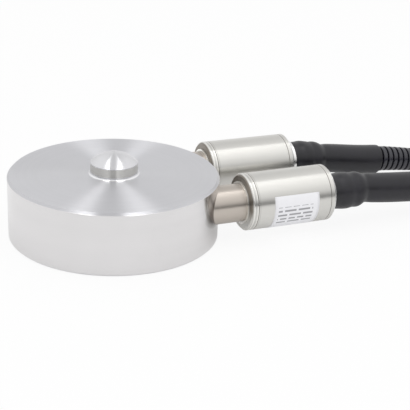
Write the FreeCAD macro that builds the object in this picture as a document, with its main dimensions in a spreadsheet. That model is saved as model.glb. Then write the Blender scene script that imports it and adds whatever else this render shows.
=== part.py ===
import FreeCAD, Part
import math
import os
from types import SimpleNamespace

import Sketcher

# Compression force transducer with two amplifier channels.
# The origin is the centre of the base. Z is the load axis and X runs along the amplifier cans.
# Channel 1 lies on the -Y side and channel 2 on the +Y side.

# Driving dimensions in millimetres, tilts in degrees
SIZES = {
    # spring body, turned with its load button
    "body_diameter": 90.0,
    "body_height": 27.0,
    "rim_chamfer": 1.0,
    "base_chamfer": 0.5,
    "button_diameter": 20.2,
    "button_side": 5.0,
    "button_fillet": 1.0,
    "dome_rise": 4.2,
    "boss_diameter": 26.0,
    "groove_diameter": 66.0,
    "groove_fillet": 2.0,
    "membrane_thickness": 8.5,
    "boss_recess": 0.3,
    "bolt_circle": 80.0,
    "bolt_core": 4.2,
    "bolt_depth": 8.0,
    # cover in the mouth of the groove
    "cover_thickness": 1.5,
    "cover_ledge": 2.0,
    # play between pieces that are pressed, welded or glued together
    "seat_gap": 0.05,
    # channels
    "channel_spacing": 42.6,
    # sensing cell under the membrane, with its board and its leads
    "cell_diameter": 8.0,
    "cell_seat": 2.5,
    "cell_foot_diameter": 6.0,
    "cell_foot": 0.75,
    "bridge_length": 10.0,
    "bridge_width": 8.0,
    "bridge_thickness": 1.0,
    "lead_diameter": 2.2,
    "lead_overlap": 4.0,
    "passage_diameter": 5.0,
    # connection stub, seated inside the body's radius
    "stub_diameter": 16.4,
    "stub_bore": 10.0,
    "stub_depth": 13.5,
    # amplifier can, clear of the body's radius
    "can_standoff": 5.1,
    "can_diameter": 24.7,
    "can_wall": 1.35,
    "front_rim": 3.0,
    "tube_1_length": 34.6,
    "tube_2_length": 35.8,
    "rear_rim": 2.7,
    "edge_chamfer": 0.9,
    "seam_bevel": 0.2,
    "collar_diameter": 18.4,
    "collar_length": 0.8,
    "cap_bore": 6.0,
    "seal_land": 0.4,
    "seal_width": 1.6,
    "seal_depth": 1.3,
    # amplifier board
    "board_width": 18.0,
    "board_thickness": 1.2,
    "board_slot": 1.6,
    # rear flange and spigot, with more of the neck showing on the second can
    "neck_1_length": 0.2,
    "neck_2_length": 1.3,
    "neck_diameter": 16.0,
    "flange_thickness": 1.2,
    "flange_diameter": 18.0,
    "spigot_diameter": 13.9,
    "spigot_root": 3.6,
    "spigot_tip_diameter": 11.0,
    "spigot_tip_length": 0.8,
    "ridge_height": 0.65,
    "ridge_length": 4.2,
    "ridge_ramp": 1.2,
    # shrink sleeve, bent at a pivot between the spigot and the bend protector
    "sleeve_wall": 0.6,
    "sleeve_bend": 1.6,
    "sleeve_reach": 36.1,
    "front_tilt": 4.7,
    "rear_tilt": 7.6,
    # ribbed bend protector, with a ridged head like the spigot
    "boot_diameter": 12.0,
    "boot_tip_diameter": 10.6,
    "boot_length": 62.4,
    "head_length": 1.4,
    "head_taper": 2.4,
    "boot_core": 7.2,
    "boot_gap": 0.4,
    "rib_pitch": 3.0,
    "rib_slit": 0.7,
    # cable and its coils
    "cable_diameter": 5.0,
    "exit_run": 10.0,
    "coil_middle": 60.0,
    "coil_turns": 4.5,
    "coil_centre": 235.0,
    "coil_lift": 1.2,
    "tie_width": 8.0,
    "tie_thickness": 1.0,
    "tie_play": 0.8,
    # round plug
    "plug_start": 297.0,
    "plug_spread": 85.0,
    "relief_diameter": 7.2,
    "relief_length": 10.0,
    "shoulder_diameter": 12.4,
    "grip_diameter": 15.0,
    "grip_length": 24.0,
    "grip_chamfer": 0.8,
    "flute_diameter": 3.6,
    "flute_depth": 0.7,
    "journal_diameter": 8.4,
    "journal_length": 5.0,
    "carrier_flange_height": 0.6,
    "carrier_flange_length": 1.5,
    "carrier_length": 4.5,
    "pin_diameter": 1.0,
    "pin_circle": 5.6,
    "pin_length": 10.8,
    "ring_section": 0.6,
    "nut_diameter": 14.4,
    "nut_head": 9.7,
    "thread_diameter": 12.0,
    "thread_length": 7.0,
    "thread_wall": 1.05,
    "socket_gap": 0.2,
    "nut_play": 0.3,
    "running_gap": 0.08,
}

BOLT_COUNT = 3
RIB_COUNT = 8
FLUTE_COUNT = 8

# Components on each amplifier board: distance from the front cap, offset across, length, width, height
COMPONENTS = [
    (1.0, -6.0, 4.0, 12.0, 3.2),
    (6.5, -5.5, 5.0, 4.0, 1.4),
    (6.5, 1.5, 6.0, 5.0, 1.6),
    (14.0, -2.5, 3.5, 5.0, 2.6),
    (19.0, -4.0, 3.5, 8.0, 3.2),
]

# Free cable of each channel, chosen by hand: on its way to the coil, and from the coil towards the plug
LEAD_ROUTES = {
    1: [(190, -23.2, 11.2), (200, -28, 14.1), (210.5, -34, 14.4), (222, -39, 14.0), (235, -41.25, 13.72)],
    2: [(190, 23.2, 5), (200.5, 28, 4.3), (211, 34, 3.95), (222, 39, 3.7), (235, 41.25, 3.6)],
}
TAIL_ROUTES = {
    1: [(235, -41.25, 18.78), (247, -41.4, 18.4), (258, -41.9, 16), (268, -42.3, 12), (277.5, -42.5, 9.3)],
    2: [(235, 41.25, 8.65), (250, 41.4, 8.6), (265, 41.9, 8.3), (277, 42.4, 7.8)],
}


class Size:
    """A number together with the sheet expression that gives it."""

    def __init__(self, value, text=None):
        self.value = float(value)
        self.text = text or repr(self.value)

    def __add__(self, other):
        other = sized(other)
        return Size(self.value + other.value, f"({self.text} + {other.text})")

    def __sub__(self, other):
        other = sized(other)
        return Size(self.value - other.value, f"({self.text} - {other.text})")

    def __mul__(self, other):
        other = sized(other)
        return Size(self.value * other.value, f"({self.text} * {other.text})")

    def __truediv__(self, other):
        other = sized(other)
        return Size(self.value / other.value, f"({self.text} / {other.text})")

    def __neg__(self):
        return Size(-self.value, f"(0 - {self.text})")


def sized(number):
    return number if isinstance(number, Size) else Size(number)


doc = FreeCAD.newDocument("force_transducer")
sheet = doc.addObject("Spreadsheet::Sheet", "Sizes")
for row, (alias, number) in enumerate(SIZES.items(), 1):
    sheet.set(f"A{row}", alias)
    sheet.set(f"B{row}", str(number))
    sheet.setAlias(f"B{row}", alias)
doc.recompute()

d = SimpleNamespace(**{alias: Size(number, "Sizes." + alias) for alias, number in SIZES.items()})
zero = Size(0)
nodes = []


# Helpers that bind features to the sheet


def bind(thing, name, size):
    setattr(thing, name, size.value)
    thing.setExpression(name, size.text)


def place(thing, x, y, z, tilt=None, upright=True):
    """Put a piece at a point, tilted nose down about Y, or turned so that its Z axis lies along X."""
    angle = tilt.value if tilt else 0 if upright else 90
    turn = FreeCAD.Rotation(FreeCAD.Vector(0, 1, 0), angle)
    thing.Placement = FreeCAD.Placement(FreeCAD.Vector(x.value, y.value, z.value), turn)
    for name, size in zip("xyz", (x, y, z)):
        thing.setExpression("Placement.Base." + name, size.text)
    if tilt:
        thing.setExpression("Placement.Rotation.Angle", f"{tilt.text} * 1 deg")


def new_sketch(body, name, plane, offset=None, tilt=None):
    """Sketch on an origin plane of its body, shifted along its normal, or along X and tilted nose down."""
    sketch = body.newObject("Sketcher::SketchObject", name)
    support = [feature for feature in body.Origin.OriginFeatures if feature.Role == plane]
    sketch.AttachmentSupport = [(support[0], "")]
    sketch.MapMode = "FlatFace"
    if tilt:
        turn = FreeCAD.Rotation(FreeCAD.Vector(0, 0, -1), tilt.value)
        sketch.AttachmentOffset = FreeCAD.Placement(FreeCAD.Vector(offset.value, 0, 0), turn)
        sketch.setExpression("AttachmentOffset.Base.x", offset.text)
        sketch.setExpression("AttachmentOffset.Rotation.Angle", f"{tilt.text} * 1 deg")
    elif offset:
        sketch.AttachmentOffset = FreeCAD.Placement(FreeCAD.Vector(0, 0, offset.value), FreeCAD.Rotation())
        sketch.setExpression("AttachmentOffset.Base.z", offset.text)
    return sketch


def hold(sketch, kind, geometry, point, size):
    index = sketch.addConstraint(Sketcher.Constraint(kind, -1, 1, geometry, point, size.value))
    sketch.setExpression(f"Constraints[{index}]", size.text)


def add_arc(sketch, start, end, centre_x):
    """Add the shorter arc between two points and return the ends that lie at start and at end."""
    rise = (centre_x - end.x) ** 2 - (centre_x - start.x) ** 2 + end.y ** 2 - start.y ** 2
    centre = FreeCAD.Vector(centre_x, rise / (2 * (end.y - start.y)), 0)
    first, last = start - centre, end - centre
    left_turn = first.cross(last).z > 0
    angles = [math.atan2(arm.y, arm.x) for arm in (first, last)]
    circle = Part.Circle(centre, FreeCAD.Vector(0, 0, 1), first.Length)
    sketch.addGeometry(Part.ArcOfCircle(circle, *(angles if left_turn else reversed(angles))), False)
    return (1, 2) if left_turn else (2, 1)


def outline(sketch, corners):
    """Closed outline through (x, y) corners. A corner (x, y, centre_x) is reached along an arc."""
    corners = [tuple(sized(part) for part in corner) for corner in corners]
    points = [FreeCAD.Vector(corner[0].value, corner[1].value, 0) for corner in corners]
    ends = []
    for index, start in enumerate(points):
        following = (index + 1) % len(points)
        if len(corners[following]) == 3:
            ends.append(add_arc(sketch, start, points[following], corners[following][2].value))
        else:
            sketch.addGeometry(Part.LineSegment(start, points[following]), False)
            ends.append((1, 2))
    for index, corner in enumerate(corners):
        following = (index + 1) % len(corners)
        joined = (index, ends[index][1], following, ends[following][0])
        sketch.addConstraint(Sketcher.Constraint("Coincident", *joined))
        hold(sketch, "DistanceX", index, ends[index][0], corner[0])
        hold(sketch, "DistanceY", index, ends[index][0], corner[1])
        if len(corner) == 3:
            hold(sketch, "DistanceX", (index - 1) % len(corners), 3, corner[2])
    return sketch


def circles(sketch, centres, diameter):
    for index, (x, y) in enumerate(centres):
        x, y = sized(x), sized(y)
        centre = FreeCAD.Vector(x.value, y.value, 0)
        sketch.addGeometry(Part.Circle(centre, FreeCAD.Vector(0, 0, 1), diameter.value / 2), False)
        hold(sketch, "DistanceX", index, 3, x)
        hold(sketch, "DistanceY", index, 3, y)
        constraint = sketch.addConstraint(Sketcher.Constraint("Diameter", index, diameter.value))
        sketch.setExpression(f"Constraints[{constraint}]", diameter.text)
    return sketch


def new_body(label):
    body = doc.addObject("PartDesign::Body", label)
    nodes.append(body)
    return body


def add_turn(body, kind, name, corners, axis="H_Axis", pivot=None, tilt=None):
    """Revolve an outline about an axis of its sketch, to add (Revolution) or to cut (Groove)."""
    sketch = outline(new_sketch(body, name + "_outline", "XZ_Plane", pivot, tilt), corners)
    turn = body.newObject("PartDesign::" + kind, name)
    turn.Profile = sketch
    turn.ReferenceAxis = (sketch, [axis])
    turn.Angle = 360
    return turn


def turned(label, corners, axis="H_Axis"):
    body = new_body(label)
    add_turn(body, "Revolution", label + "_turn", corners, axis)
    return body


def repeat_round(body, feature, name, axis, count):
    """Repeat a feature about an axis of a sketch."""
    pattern = body.newObject("PartDesign::PolarPattern", name)
    pattern.Originals = [feature]
    pattern.Axis = axis
    pattern.Angle = 360
    pattern.Occurrences = count
    body.Tip = pattern


def add_pocket(body, sketch, name, depth, along_normal):
    doc.recompute()
    before = body.Shape.Volume
    pocket = body.newObject("PartDesign::Pocket", name)
    pocket.Profile = sketch
    bind(pocket, "Length", depth)
    pocket.Reversed = along_normal
    doc.recompute()
    if body.Shape.Volume > before - 1e-6:
        raise RuntimeError(f"{name} cuts nothing")
    return pocket


def block(label, low, spans, node=True):
    box = doc.addObject("Part::Box", label)
    for name, span in zip(("Length", "Width", "Height"), spans):
        bind(box, name, sized(span))
    place(box, *(sized(corner) for corner in low))
    if node:
        nodes.append(box)
    return box


def rod(label, diameter, length, x, y, z, node=True):
    """Round bar along X."""
    bar = doc.addObject("Part::Cylinder", label)
    bind(bar, "Radius", diameter / 2)
    bind(bar, "Height", length)
    place(bar, x, y, z, upright=False)
    if node:
        nodes.append(bar)
    return bar


def ring(label, inner, outer, x, y, z):
    """Seal ring about an axis along X that fills the space between two diameters."""
    torus = doc.addObject("Part::Torus", label)
    bind(torus, "Radius1", (inner + outer) / 4)
    bind(torus, "Radius2", (outer - inner) / 4 - d.seat_gap)
    place(torus, x, y, z, upright=False)
    nodes.append(torus)


def group(label, members):
    compound = doc.addObject("Part::Compound", label)
    compound.Links = members
    nodes.append(compound)


# Values that several pieces share

body_radius = d.body_diameter / 2
button_radius = d.button_diameter / 2
ceiling = d.body_height - d.membrane_thickness
cover_top = d.boss_recess + d.cover_thickness
cover_inner = d.boss_diameter / 2 - d.cover_ledge
cover_outer = d.groove_diameter / 2 + d.cover_ledge
cell_foot_level = ceiling - d.cell_foot
bridge_bottom = cell_foot_level - d.bridge_thickness
axis_height = bridge_bottom - d.seat_gap - d.lead_diameter / 2
stub_seat = body_radius - d.stub_depth

can_start = body_radius + d.can_standoff
can_radius = d.can_diameter / 2
tube_bore = d.can_diameter - d.can_wall * 2
cap_diameter = tube_bore - d.seat_gap * 2
seal_floor = cap_diameter - d.seal_depth * 2
tube_start = can_start + d.front_rim
cap_depth = d.seal_land * 2 + d.seal_width + d.board_slot
front_inner_face = tube_start + cap_depth
board_start = front_inner_face - d.board_slot + d.seat_gap
board_base = axis_height - d.board_thickness / 2

spigot_radius = d.spigot_diameter / 2
ridge_radius = spigot_radius + d.ridge_height
boot_radius = d.boot_diameter / 2
cable_bore = d.cable_diameter + d.seat_gap * 2

coil_half_width = d.cable_diameter * (d.coil_turns + 1) / 2
coil_inner = d.coil_middle / 2 - coil_half_width
coil_outer = d.coil_middle / 2 + coil_half_width
coil_height = d.cable_diameter * 2

plug_height = d.grip_diameter / 2
carrier_start = d.grip_length + d.journal_length
nut_back = d.grip_length + d.nut_play
nut_shoulder = nut_back + d.nut_head
nut_front = nut_shoulder + d.thread_length
socket_diameter = d.thread_diameter - d.thread_wall * 2
carrier_flange = socket_diameter - d.socket_gap * 2
carrier_diameter = carrier_flange - d.carrier_flange_height * 2


def new_channel(number, direction, level, tilt, tube_length, neck_length):
    """Side, sleeve tilt and coil level of one channel, with the places along its axis."""
    channel = SimpleNamespace(number=number, direction=direction, level=level, tilt=tilt)
    channel.side = d.channel_spacing / 2 * direction
    channel.plug_side = d.plug_spread / 2 * direction
    channel.tube_end = tube_start + tube_length
    channel.board_end = channel.tube_end - cap_depth + d.board_slot - d.seat_gap
    channel.can_end = channel.tube_end + d.rear_rim
    channel.flange_start = channel.can_end + neck_length
    channel.flange_end = channel.flange_start + d.flange_thickness
    channel.ridge_start = channel.flange_end + d.spigot_root
    channel.ridge_end = channel.ridge_start + d.ridge_ramp * 2 + d.ridge_length
    channel.spigot_end = channel.ridge_end + d.spigot_tip_length
    channel.bend = channel.spigot_end + d.sleeve_bend
    return channel


CHANNELS = [
    new_channel(1, -1, 1, d.front_tilt, d.tube_1_length, d.neck_1_length),
    new_channel(2, 1, 0, d.rear_tilt, d.tube_2_length, d.neck_2_length),
]


# Spring body and its cover


def spring_body():
    rim = body_radius - d.rim_chamfer
    base = body_radius - d.base_chamfer
    boss = d.boss_diameter / 2
    groove = d.groove_diameter / 2
    fillet = d.groove_fillet
    button_top = d.body_height + d.button_side
    body = turned("spring_body", [
        (0, d.boss_recess),
        (cover_inner, d.boss_recess),
        (cover_inner, cover_top),
        (boss, cover_top),
        (boss, ceiling - fillet),
        (boss + fillet, ceiling, boss + fillet),
        (groove - fillet, ceiling),
        (groove, ceiling - fillet, groove - fillet),
        (groove, cover_top),
        (cover_outer, cover_top),
        (cover_outer, 0),
        (base, 0),
        (body_radius, d.base_chamfer),
        (body_radius, d.body_height - d.rim_chamfer),
        (rim, d.body_height),
        (button_radius + d.button_fillet, d.body_height),
        (button_radius, d.body_height + d.button_fillet, button_radius + d.button_fillet),
        (button_radius, button_top),
        (0, button_top + d.dome_rise, 0),
    ], "V_Axis")
    side = d.channel_spacing / 2
    axes = [(-side, axis_height), (side, axis_height)]
    seats = circles(new_sketch(body, "stub_seats", "YZ_Plane", stub_seat), axes,
                    d.stub_diameter + d.seat_gap * 2)
    add_pocket(body, seats, "stub_bores", body_radius, True)
    passages = circles(new_sketch(body, "passages", "YZ_Plane", stub_seat), axes, d.passage_diameter)
    add_pocket(body, passages, "wire_bores", stub_seat, False)
    cells = circles(new_sketch(body, "cell_seats", "XY_Plane", ceiling), [(0, -side), (0, side)],
                    d.cell_diameter + d.seat_gap * 2)
    add_pocket(body, cells, "cell_bores", d.cell_seat, True)
    hole = circles(new_sketch(body, "base_hole", "XY_Plane"), [(-d.bolt_circle / 2, 0)], d.bolt_core)
    bore = add_pocket(body, hole, "base_bore", d.bolt_depth, True)
    repeat_round(body, bore, "base_bores", (hole, ["N_Axis"]), BOLT_COUNT)


def base_cover():
    inner = cover_inner + d.seat_gap
    outer = cover_outer - d.seat_gap
    turned("base_cover", [
        (inner, d.boss_recess), (outer, d.boss_recess), (outer, cover_top), (inner, cover_top),
    ], "V_Axis")


# Pieces of one channel, each on its own axis


def sensing_cell(channel):
    foot = d.cell_foot_diameter / 2
    seat = d.cell_diameter / 2
    top = ceiling + d.cell_seat
    cell = turned(f"sensing_cell_{channel.number}", [
        (0, cell_foot_level),
        (foot, cell_foot_level),
        (foot, ceiling),
        (seat, ceiling),
        (seat, top),
        (0, top),
    ], "V_Axis")
    place(cell, zero, channel.side, zero)
    corner = (-d.bridge_length / 2, channel.side - d.bridge_width / 2, bridge_bottom)
    block(f"bridge_board_{channel.number}", corner, (d.bridge_length, d.bridge_width, d.bridge_thickness))
    rod(f"lead_bundle_{channel.number}", d.lead_diameter, board_start + d.lead_overlap,
        -d.lead_overlap, channel.side, axis_height)


def connection_stub(channel):
    outer = d.stub_diameter / 2
    bore = d.stub_bore / 2
    stub = turned(f"connection_stub_{channel.number}", [
        (stub_seat, bore), (can_start, bore), (can_start, outer), (stub_seat, outer),
    ])
    place(stub, zero, channel.side, axis_height)


def board_slot(cap, name, bottom):
    """Outline at the bottom of the slot in a cap's inner face that holds one end of the board."""
    half_width = d.board_width / 2 + d.seat_gap
    half_height = d.board_thickness / 2 + d.seat_gap
    return outline(new_sketch(cap, name, "YZ_Plane", bottom), [
        (-half_width, -half_height),
        (half_width, -half_height),
        (half_width, half_height),
        (-half_width, half_height),
    ])


def front_cap(channel):
    stub_space = d.stub_diameter / 2 + d.seat_gap
    collar = d.collar_diameter / 2
    collar_start = can_start - d.collar_length
    bore = d.cap_bore / 2
    spigot = cap_diameter / 2
    groove_start = tube_start + d.seal_land
    groove_end = groove_start + d.seal_width
    cap = turned(f"front_cap_{channel.number}", [
        (can_start, bore),
        (can_start, stub_space),
        (collar_start, stub_space),
        (collar_start, collar),
        (can_start, collar),
        (can_start, can_radius - d.edge_chamfer),
        (can_start + d.edge_chamfer, can_radius),
        (tube_start - d.seam_bevel, can_radius),
        (tube_start, can_radius - d.seam_bevel),
        (tube_start, spigot),
        (groove_start, spigot),
        (groove_start, seal_floor / 2),
        (groove_end, seal_floor / 2),
        (groove_end, spigot),
        (front_inner_face, spigot),
        (front_inner_face, bore),
    ])
    slot = board_slot(cap, f"front_slot_{channel.number}", front_inner_face - d.board_slot)
    add_pocket(cap, slot, f"front_slot_cut_{channel.number}", d.board_slot, True)
    place(cap, zero, channel.side, axis_height)
    middle = (groove_start + groove_end) / 2
    ring(f"front_seal_{channel.number}", seal_floor, tube_bore, middle, channel.side, axis_height)


def amplifier_tube(channel):
    bore = tube_bore / 2
    tube = turned(f"amplifier_tube_{channel.number}", [
        (tube_start, bore),
        (channel.tube_end, bore),
        (channel.tube_end, can_radius - d.seam_bevel),
        (channel.tube_end - d.seam_bevel, can_radius),
        (tube_start + d.seam_bevel, can_radius),
        (tube_start, can_radius - d.seam_bevel),
    ])
    place(tube, zero, channel.side, axis_height)


def amplifier_board(channel):
    block(f"amplifier_board_{channel.number}", (board_start, channel.side - d.board_width / 2, board_base),
          (channel.board_end - board_start, d.board_width, d.board_thickness))
    top = board_base + d.board_thickness
    components = []
    for index, (along, across, *spans) in enumerate(COMPONENTS):
        corner = (front_inner_face + along, channel.side + across, top)
        components.append(block(f"component_{channel.number}_{index}", corner, spans, node=False))
    group(f"board_components_{channel.number}", components)


def spigot_profile(channel, extra):
    """Ridged outside of the rear spigot, from the flange to its tip, grown by the given amount."""
    low = spigot_radius + extra
    high = ridge_radius + extra
    return [
        (channel.flange_end, low),
        (channel.ridge_start, low),
        (channel.ridge_start + d.ridge_ramp, high),
        (channel.ridge_end - d.ridge_ramp, high),
        (channel.ridge_end, low),
    ]


def head_profile(extra):
    """Ridged head of the bend protector, down to its shank, grown by the given amount."""
    crest_start = d.boot_gap + d.ridge_ramp
    crest_end = crest_start + d.head_length
    return [
        (d.boot_gap, spigot_radius + extra),
        (crest_start, ridge_radius + extra),
        (crest_end, ridge_radius + extra),
        (crest_end + d.head_taper, boot_radius + extra),
        (d.sleeve_reach, boot_radius + extra),
    ]


def rear_cap(channel):
    bore = cable_bore / 2
    spigot = cap_diameter / 2
    groove_end = channel.tube_end - d.seal_land
    groove_start = groove_end - d.seal_width
    inner_face = channel.tube_end - cap_depth
    cap = turned(f"rear_cap_{channel.number}", [
        (inner_face, bore),
        (inner_face, spigot),
        (groove_start, spigot),
        (groove_start, seal_floor / 2),
        (groove_end, seal_floor / 2),
        (groove_end, spigot),
        (channel.tube_end, spigot),
        (channel.tube_end, can_radius - d.seam_bevel),
        (channel.tube_end + d.seam_bevel, can_radius),
        (channel.can_end - d.edge_chamfer, can_radius),
        (channel.can_end, can_radius - d.edge_chamfer),
        (channel.can_end, d.neck_diameter / 2),
        (channel.flange_start, d.neck_diameter / 2),
        (channel.flange_start, d.flange_diameter / 2),
        (channel.flange_end, d.flange_diameter / 2),
        *spigot_profile(channel, zero),
        (channel.spigot_end, d.spigot_tip_diameter / 2),
        (channel.spigot_end, bore),
    ])
    slot = board_slot(cap, f"rear_slot_{channel.number}", inner_face + d.board_slot)
    add_pocket(cap, slot, f"rear_slot_cut_{channel.number}", d.board_slot, False)
    place(cap, zero, channel.side, axis_height)
    middle = (groove_start + groove_end) / 2
    ring(f"rear_seal_{channel.number}", seal_floor, tube_bore, middle, channel.side, axis_height)


def shrink_sleeve(channel):
    """Sleeve shrunk over the spigot and the bend protector's head, bent at the pivot between them."""
    skin = d.seat_gap + d.sleeve_wall
    lining = d.seat_gap
    sleeve = new_body(f"shrink_sleeve_{channel.number}")
    name = sleeve.Label
    for kind, part, extra in (("Revolution", "part", skin), ("Groove", "space", lining)):
        radius = spigot_radius + extra
        add_turn(sleeve, kind, f"{name}_spigot_{part}", [
            (channel.flange_end, 0),
            *spigot_profile(channel, extra),
            (channel.bend, radius),
            (channel.bend + radius, 0, channel.bend),
        ])
        add_turn(sleeve, kind, f"{name}_boot_{part}", [
            (0, 0), (0, radius), *head_profile(extra), (d.sleeve_reach, 0),
        ], pivot=channel.bend, tilt=channel.tilt)
    place(sleeve, zero, channel.side, axis_height)


def bend_protector(channel):
    """Moulded boot with a ridged head and a plain shank in the sleeve, and tapering rings outside it."""
    bore = cable_bore / 2
    boot = turned(f"bend_protector_{channel.number}", [
        (d.boot_gap, bore),
        *head_profile(zero),
        (d.boot_length, d.boot_tip_diameter / 2),
        (d.boot_length, bore),
    ])
    slit_start = d.sleeve_reach + d.rib_pitch - d.rib_slit
    slit = add_turn(boot, "Groove", f"rib_slit_{channel.number}", [
        (slit_start, d.boot_core / 2),
        (slit_start, boot_radius),
        (slit_start + d.rib_slit, boot_radius),
        (slit_start + d.rib_slit, d.boot_core / 2),
    ])
    doc.recompute()
    slits = boot.newObject("PartDesign::LinearPattern", f"rib_slits_{channel.number}")
    slits.Originals = [slit]
    slits.Direction = (slit.Profile[0], ["H_Axis"])
    bind(slits, "Length", d.rib_pitch * (RIB_COUNT - 1))
    slits.Occurrences = RIB_COUNT
    boot.Tip = slits
    place(boot, channel.bend, channel.side, axis_height, channel.tilt)


def inner_cable(channel):
    """Cable from the amplifier board to the tip of the bend protector."""
    radius = d.cable_diameter / 2
    cable = new_body(f"inner_cable_{channel.number}")
    add_turn(cable, "Revolution", f"cable_in_spigot_{channel.number}", [
        (channel.board_end, 0),
        (channel.board_end, radius),
        (channel.bend, radius),
        (channel.bend + radius, 0, channel.bend),
    ])
    add_turn(cable, "Revolution", f"cable_in_boot_{channel.number}", [
        (0, 0), (0, radius), (d.boot_length, radius), (d.boot_length, 0),
    ], pivot=channel.bend, tilt=channel.tilt)
    place(cable, zero, channel.side, axis_height)


# Free cable, coils and ties


ARC_SHARE = 0.45


def rounded_path(points):
    """Straight runs joined by tangent arcs that take their share of the shorter run, and the arcs' radii."""
    points = [FreeCAD.Vector(*point) for point in points]
    edges = []
    radii = []
    start = points[0]
    for before, corner, after in zip(points, points[1:], points[2:]):
        arriving = (corner - before).normalize()
        leaving = (after - corner).normalize()
        half_turn = arriving.getAngle(leaving) / 2
        trim = ARC_SHARE * min((corner - before).Length, (after - corner).Length)
        radius = trim / math.tan(half_turn)
        inward = (leaving - arriving).normalize()
        middle = corner + inward * (radius / math.cos(half_turn) - radius)
        arc_start = corner - arriving * trim
        arc_end = corner + leaving * trim
        edges.append(Part.LineSegment(start, arc_start).toShape())
        edges.append(Part.Arc(arc_start, middle, arc_end).toShape())
        radii.append(radius)
        start = arc_end
    edges.append(Part.LineSegment(start, points[-1]).toShape())
    return Part.Wire(edges), radii


def lead_points(channel):
    """Route from the tip of the bend protector, straight out at first."""
    slope = math.radians(channel.tilt.value)
    heading = FreeCAD.Vector(math.cos(slope), 0, -math.sin(slope))
    pivot = FreeCAD.Vector(channel.bend.value, channel.side.value, axis_height.value)
    tip = pivot + heading * sheet.boot_length
    return [tuple(tip), tuple(tip + heading * sheet.exit_run), *LEAD_ROUTES[channel.number]]


def tail_points(channel):
    """Route that ends straight at the back of the plug."""
    end = FreeCAD.Vector(sheet.plug_start, channel.plug_side.value, plug_height.value)
    return [*TAIL_ROUTES[channel.number], tuple(end - FreeCAD.Vector(sheet.exit_run, 0, 0)), tuple(end)]


def cable_run(label, points):
    path, radii = rounded_path(points)
    start = FreeCAD.Vector(*points[0])
    heading = FreeCAD.Vector(*points[1]) - start
    radius = sheet.cable_diameter / 2
    section = Part.Wire(Part.Circle(start, heading, radius).toShape())
    cable = doc.addObject("Part::Feature", label)
    cable.Shape = path.makePipeShell([section], True, False)
    share = cable.Shape.Volume / (math.pi * radius ** 2 * path.Length)
    bends = [round(bend) for bend in radii]
    print(f"{label}: {path.Length:.1f} mm, volume share {share:.4f}, radii {bends}")
    nodes.append(cable)


def cable_coil(channel):
    bottom = d.coil_lift + coil_height * channel.level
    coil = turned(f"cable_coil_{channel.number}", [
        (coil_inner, zero), (coil_outer, zero), (coil_outer, coil_height), (coil_inner, coil_height),
    ], "V_Axis")
    place(coil, d.coil_centre, zero, bottom)


def coil_tie(channel):
    """Strap round both coils, on one side of their centre."""
    inner = coil_inner - d.tie_play
    outer = coil_outer + d.tie_play
    top = d.coil_lift + coil_height * 2 + d.coil_lift - d.tie_thickness
    near = d.coil_centre + (inner if channel.direction > 0 else -outer)
    half = d.tie_width / 2
    wall = d.tie_thickness
    width = outer - inner
    strap = block(f"strap_{channel.number}", (near - wall, -half, 0),
                  (width + wall * 2, d.tie_width, top + wall), node=False)
    space = block(f"strap_space_{channel.number}", (near, -half, wall),
                  (width, d.tie_width, top - wall), node=False)
    tie = doc.addObject("Part::Cut", f"coil_tie_{channel.number}")
    tie.Base = strap
    tie.Tool = space
    nodes.append(tie)


# Round plug on the end of each cable


def plug_grip(channel):
    grip = d.grip_diameter / 2
    journal = d.journal_diameter / 2
    body = turned(f"plug_grip_{channel.number}", [
        (0, 0),
        (0, d.relief_diameter / 2),
        (d.relief_length, d.shoulder_diameter / 2),
        (d.relief_length, grip - d.grip_chamfer),
        (d.relief_length + d.grip_chamfer, grip),
        (d.grip_length - d.grip_chamfer, grip),
        (d.grip_length, grip - d.grip_chamfer),
        (d.grip_length, journal),
        (carrier_start, journal),
        (carrier_start, 0),
    ])
    flute = circles(new_sketch(body, f"flute_{channel.number}", "YZ_Plane", d.relief_length),
                    [(0, grip + d.flute_diameter / 2 - d.flute_depth)], d.flute_diameter)
    cut = add_pocket(body, flute, f"flute_cut_{channel.number}", d.grip_length - d.relief_length, True)
    repeat_round(body, cut, f"flutes_{channel.number}", (flute, ["N_Axis"]), FLUTE_COUNT)
    place(body, d.plug_start, channel.plug_side, plug_height)


def plug_contacts(channel):
    flange = carrier_flange / 2
    insert = carrier_diameter / 2
    flange_front = carrier_start + d.carrier_flange_length
    front = carrier_start + d.carrier_length
    carrier = turned(f"plug_carrier_{channel.number}", [
        (carrier_start, 0),
        (carrier_start, flange),
        (flange_front, flange),
        (flange_front, insert),
        (front, insert),
        (front, 0),
    ])
    reach = d.pin_circle / 2 * math.sqrt(0.5)
    corners = [(reach, reach), (-reach, reach), (-reach, -reach), (reach, -reach)]
    holes = circles(new_sketch(carrier, f"pin_holes_{channel.number}", "YZ_Plane", carrier_start), corners,
                    d.pin_diameter + d.seat_gap * 2)
    add_pocket(carrier, holes, f"pin_bores_{channel.number}", d.carrier_length, True)
    place(carrier, d.plug_start, channel.plug_side, plug_height)
    pins = []
    for index, (across, up) in enumerate(corners):
        foot = (d.plug_start + carrier_start, channel.plug_side + across, plug_height + up)
        pins.append(rod(f"pin_{channel.number}_{index}", d.pin_diameter, d.pin_length, *foot, node=False))
    group(f"plug_pins_{channel.number}", pins)
    seal_inner = carrier_diameter + d.seat_gap * 2
    seal_outer = seal_inner + d.ring_section * 2
    seal_place = d.plug_start + flange_front + d.ring_section / 2
    ring(f"plug_seal_{channel.number}", seal_inner, seal_outer, seal_place, channel.plug_side, plug_height)


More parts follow.
